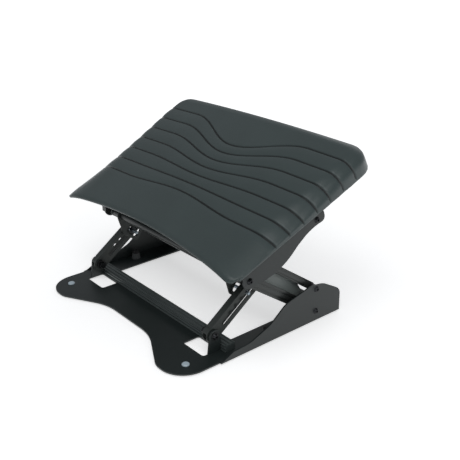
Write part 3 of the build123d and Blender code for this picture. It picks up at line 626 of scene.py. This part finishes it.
class FOOTREST_OT_sheet_edges(bpy.types.Operator):
    """Softens the steel pieces' edges, rounds the brackets' ends and lifts the webs' crests"""
    bl_idname = "footrest.sheet_edges"
    bl_label = "Sheet edges"

    def execute(self, context):
        sizes = context.scene.footrest_edges
        for name in edged_nodes:
            bm = merged(name)
            for depth, height, radius in corner_roundings.get(name.rsplit("_", 1)[0], ()):
                spots = [e for e in bm.edges if all(
                    math.hypot(v.co.y - depth, v.co.z - height) < corner_reach
                    for v in e.verts)]
                bmesh.ops.bevel(bm, geom=spots, offset=radius, segments=6, affect="EDGES",
                                profile=0.5, material=-1)
            if name.startswith("lift_web"):
                self.raise_crest(bm, sizes)
            stand_in(name, bm, sizes.rounding)
        return {"FINISHED"}

    def raise_crest(self, bm, sizes):
        """Lifts a web's crest towards the upper link, which runs in the next layer."""
        along = (pivots["carrier_level"] - pivots["height"]).normalized()
        up = Vector((0, along.z, -along.y))
        crest = [v for v in bm.verts if (v.co - pivots["height"]).dot(up) > sizes.web_crest]
        bmesh.ops.translate(bm, vec=up * sizes.web_rise, verts=crest)


class FOOTREST_OT_crossbar(bpy.types.Operator):
    """Makes the base's front crossbar, an extrusion with grooves along its top and front"""
    bl_idname = "footrest.crossbar"
    bl_label = "Front crossbar"

    def execute(self, context):
        sizes = context.scene.footrest_crossbar
        low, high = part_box("front_crossbar")
        groove, depth = sizes.groove, sizes.depth
        outline = [(low.y, low.z)]
        step = (high.z - low.z) / sizes.front_grooves
        for index in range(sizes.front_grooves):
            middle = low.z + step * (index + 0.5)
            outline += [(low.y, middle - groove), (low.y + depth, middle - groove / 2),
                        (low.y + depth, middle + groove / 2), (low.y, middle + groove)]
        outline.append((low.y, high.z))
        step = (high.y - low.y) / sizes.top_grooves
        for index in range(sizes.top_grooves):
            middle = low.y + step * (index + 0.5)
            outline += [(middle - groove, high.z), (middle - groove / 2, high.z - depth),
                        (middle + groove / 2, high.z - depth), (middle + groove, high.z)]
        outline += [(high.y, high.z), (high.y, low.z)]
        bm = bmesh.new()
        face = bm.faces.new([bm.verts.new((low.x, y, z)) for y, z in outline])
        grown = bmesh.ops.extrude_face_region(bm, geom=[face])["geom"]
        ends = [item for item in grown if isinstance(item, bmesh.types.BMVert)]
        bmesh.ops.translate(bm, vec=(high.x - low.x, 0, 0), verts=ends)
        bmesh.ops.recalc_face_normals(bm, faces=bm.faces)
        stand_in("front_crossbar", bm, sizes.rounding)
        return {"FINISHED"}


class FOOTREST_OT_locking_pins(bpy.types.Operator):
    """Makes the two plated pins that hold the prop arms, one on each side"""
    bl_idname = "footrest.locking_pins"
    bl_label = "Locking pins"

    def execute(self, context):
        sizes = context.scene.footrest_pins
        low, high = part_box("locking_rod")
        radius = (high.z - low.z) / 2
        across = Matrix.Rotation(math.radians(90), 4, "Y")
        bm = bmesh.new()
        for side in (-1, 1):
            middle = Vector((side * (high.x - sizes.length / 2), (low.y + high.y) / 2,
                             (low.z + high.z) / 2))
            bmesh.ops.create_cone(bm, cap_ends=True, segments=32, radius1=radius, radius2=radius,
                                  depth=sizes.length, matrix=Matrix.Translation(middle) @ across)
        rims = [e for e in bm.edges if any(len(f.verts) > 4 for f in e.link_faces)]
        bmesh.ops.bevel(bm, geom=rims, offset=sizes.chamfer, segments=3, affect="EDGES",
                        profile=0.5, material=-1)
        pins = piece_from("locking_pins", bm, "rod",
                          bpy.data.materials["pin_plating"])
        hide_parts("locking_rod")
        return {"FINISHED"}


class FOOTREST_OT_stage(bpy.types.Operator):
    """Sets the pale floor, the soft lights and the camera"""
    bl_idname = "footrest.stage"
    bl_label = "Studio"

    def execute(self, context):
        self.lay_floor(context)
        self.light_room(context)
        self.hang_lamps(context)
        self.place_camera(context)
        context.scene.view_settings.view_transform = "Standard"
        return {"FINISHED"}

    def lay_floor(self, context):
        """A pale floor that keeps the shadow near the footrest and pales to white further out."""
        bm = bmesh.new()
        size = context.scene.footrest_stage.floor_half
        bmesh.ops.create_grid(bm, x_segments=2, y_segments=2, size=size)
        mesh = bpy.data.meshes.new("studio_floor")
        bm.to_mesh(mesh)
        bm.free()
        floor = bpy.data.objects.new("studio_floor", mesh)
        context.scene.collection.objects.link(floor)
        pale = bpy.data.materials.new("studio_floor")
        pale.use_nodes = True
        tree = pale.node_tree
        shader = tree.nodes["Principled BSDF"]
        colour = context.scene.footrest_colours.floor
        shader.inputs["Base Color"].default_value = (*colour, 1)
        shader.inputs["Roughness"].default_value = 0.9
        shader.inputs["Specular IOR Level"].default_value = 0.1
        rays = tree.nodes.new("ShaderNodeLightPath")
        glow = tree.nodes.new("ShaderNodeEmission")
        glow.inputs["Color"].default_value = (1, 1, 1, 1)
        total = tree.nodes.new("ShaderNodeAddShader")
        share = tree.nodes.new("ShaderNodeMath")
        share.operation = "MULTIPLY"
        place = tree.nodes.new("ShaderNodeTexCoord")
        away = tree.nodes.new("ShaderNodeVectorMath")
        away.operation = "LENGTH"
        far = tree.nodes.new("ShaderNodeMapRange")
        far.inputs["From Min"].default_value = 0.2
        far.inputs["From Max"].default_value = 2.4
        far.inputs["To Min"].default_value = 0.54
        far.inputs["To Max"].default_value = 0.95
        seen = tree.nodes.new("ShaderNodeMath")
        seen.operation = "MAXIMUM"
        link = tree.links.new
        link(rays.outputs["Is Camera Ray"], seen.inputs[0])
        link(rays.outputs["Is Glossy Ray"], seen.inputs[1])
        link(place.outputs["Object"], away.inputs[0])
        link(away.outputs["Value"], far.inputs["Value"])
        link(far.outputs["Result"], share.inputs[1])
        link(seen.outputs["Value"], share.inputs[0])
        link(share.outputs["Value"], glow.inputs["Strength"])
        link(shader.outputs["BSDF"], total.inputs[0])
        link(glow.outputs["Emission"], total.inputs[1])
        link(total.outputs["Shader"], tree.nodes["Material Output"].inputs["Surface"])
        paint(floor, pale)

    def light_room(self, context):
        """A dim cool world that the camera sees as white."""
        world = bpy.data.worlds.new("studio")
        context.scene.world = world
        world.use_nodes = True
        tree = world.node_tree
        tree.nodes.clear()
        output = tree.nodes.new("ShaderNodeOutputWorld")
        soft = tree.nodes.new("ShaderNodeBackground")
        soft.inputs["Color"].default_value = (0.93, 0.96, 1.0, 1)
        soft.inputs["Strength"].default_value = 0.34
        white = tree.nodes.new("ShaderNodeBackground")
        white.inputs["Color"].default_value = (1, 1, 1, 1)
        white.inputs["Strength"].default_value = 1.0
        rays = tree.nodes.new("ShaderNodeLightPath")
        choice = tree.nodes.new("ShaderNodeMixShader")
        link = tree.links.new
        link(rays.outputs["Is Camera Ray"], choice.inputs["Fac"])
        link(soft.outputs["Background"], choice.inputs[1])
        link(white.outputs["Background"], choice.inputs[2])
        link(choice.outputs["Shader"], output.inputs["Surface"])

    def hang_lamps(self, context):
        """Square soft lamps: name, place, what it points at, width and power."""
        for name, spot, aim, size, power in (
            ("key_light", (0.5, -1.0, 1.9), (0, 0.05, 0.15), 1.2, 9.0),
            ("side_light", (1.5, -0.35, 1.15), (0.1, 0.0, 0.15), 0.8, 4.6),
            ("rear_light", (-0.6, 1.8, 1.2), (0, 0.05, 0.2), 1.4, 4.0),
        ):
            lamp = bpy.data.lights.new(name, "AREA")
            lamp.shape = "SQUARE"
            lamp.size = size
            lamp.energy = power
            light = bpy.data.objects.new(name, lamp)
            context.scene.collection.objects.link(light)
            light.location = spot
            aimed = (Vector(aim) - Vector(spot)).to_track_quat("-Z", "Y")
            light.rotation_euler = aimed.to_euler()

    def place_camera(self, context):
        """The photograph's view, as the fit of the camera gave it."""
        lens = bpy.data.cameras.new("photo_view")
        lens.lens = context.scene.footrest_stage.focal
        lens.sensor_width = 36
        lens.clip_end = 50
        camera = bpy.data.objects.new("photo_view", lens)
        context.scene.collection.objects.link(camera)
        right = Vector((0.63952, 0.76870, -0.01094))
        up = Vector((-0.29739, 0.26048, 0.91854))
        back = Vector((0.70893, -0.58417, 0.39519))
        turn = Matrix((right, up, back)).transposed().to_4x4()
        place = Matrix.Translation((0.9429, arm_pivot.y - 0.6011, 0.6266))
        camera.matrix_world = place @ turn
        context.scene.camera = camera


class FOOTREST_PT_pieces(bpy.types.Panel):
    """Lists the footrest's pieces"""
    bl_idname = "FOOTREST_PT_pieces"
    bl_label = "Footrest"
    bl_space_type = "VIEW_3D"
    bl_region_type = "UI"
    bl_category = "Footrest"

    def draw(self, context):
        for maker in makers:
            self.layout.operator(maker.bl_idname)


makers = (FOOTREST_OT_finishes, FOOTREST_OT_tray_skin, FOOTREST_OT_sheet_edges,
          FOOTREST_OT_crossbar, FOOTREST_OT_locking_pins, FOOTREST_OT_stage)
groups = {
    "footrest_tray": TraySizes,
    "footrest_grooves": GrooveSizes,
    "footrest_edges": EdgeSizes,
    "footrest_crossbar": CrossbarSizes,
    "footrest_pins": PinSizes,
    "footrest_colours": FinishColours,
    "footrest_stage": StageSizes,
}
classes = (*groups.values(), *makers, FOOTREST_PT_pieces)


def register():
    for item in classes:
        bpy.utils.register_class(item)
    for name, group in groups.items():
        setattr(bpy.types.Scene, name, PointerProperty(type=group))


def unregister():
    for name in groups:
        delattr(bpy.types.Scene, name)
    for item in reversed(classes):
        bpy.utils.unregister_class(item)


def main():
    register()
    bpy.ops.footrest.finishes()
    bpy.ops.footrest.tray_skin()
    bpy.ops.footrest.sheet_edges()
    bpy.ops.footrest.crossbar()
    bpy.ops.footrest.locking_pins()
    bpy.ops.footrest.stage()


if __name__ == "__main__":
    main()
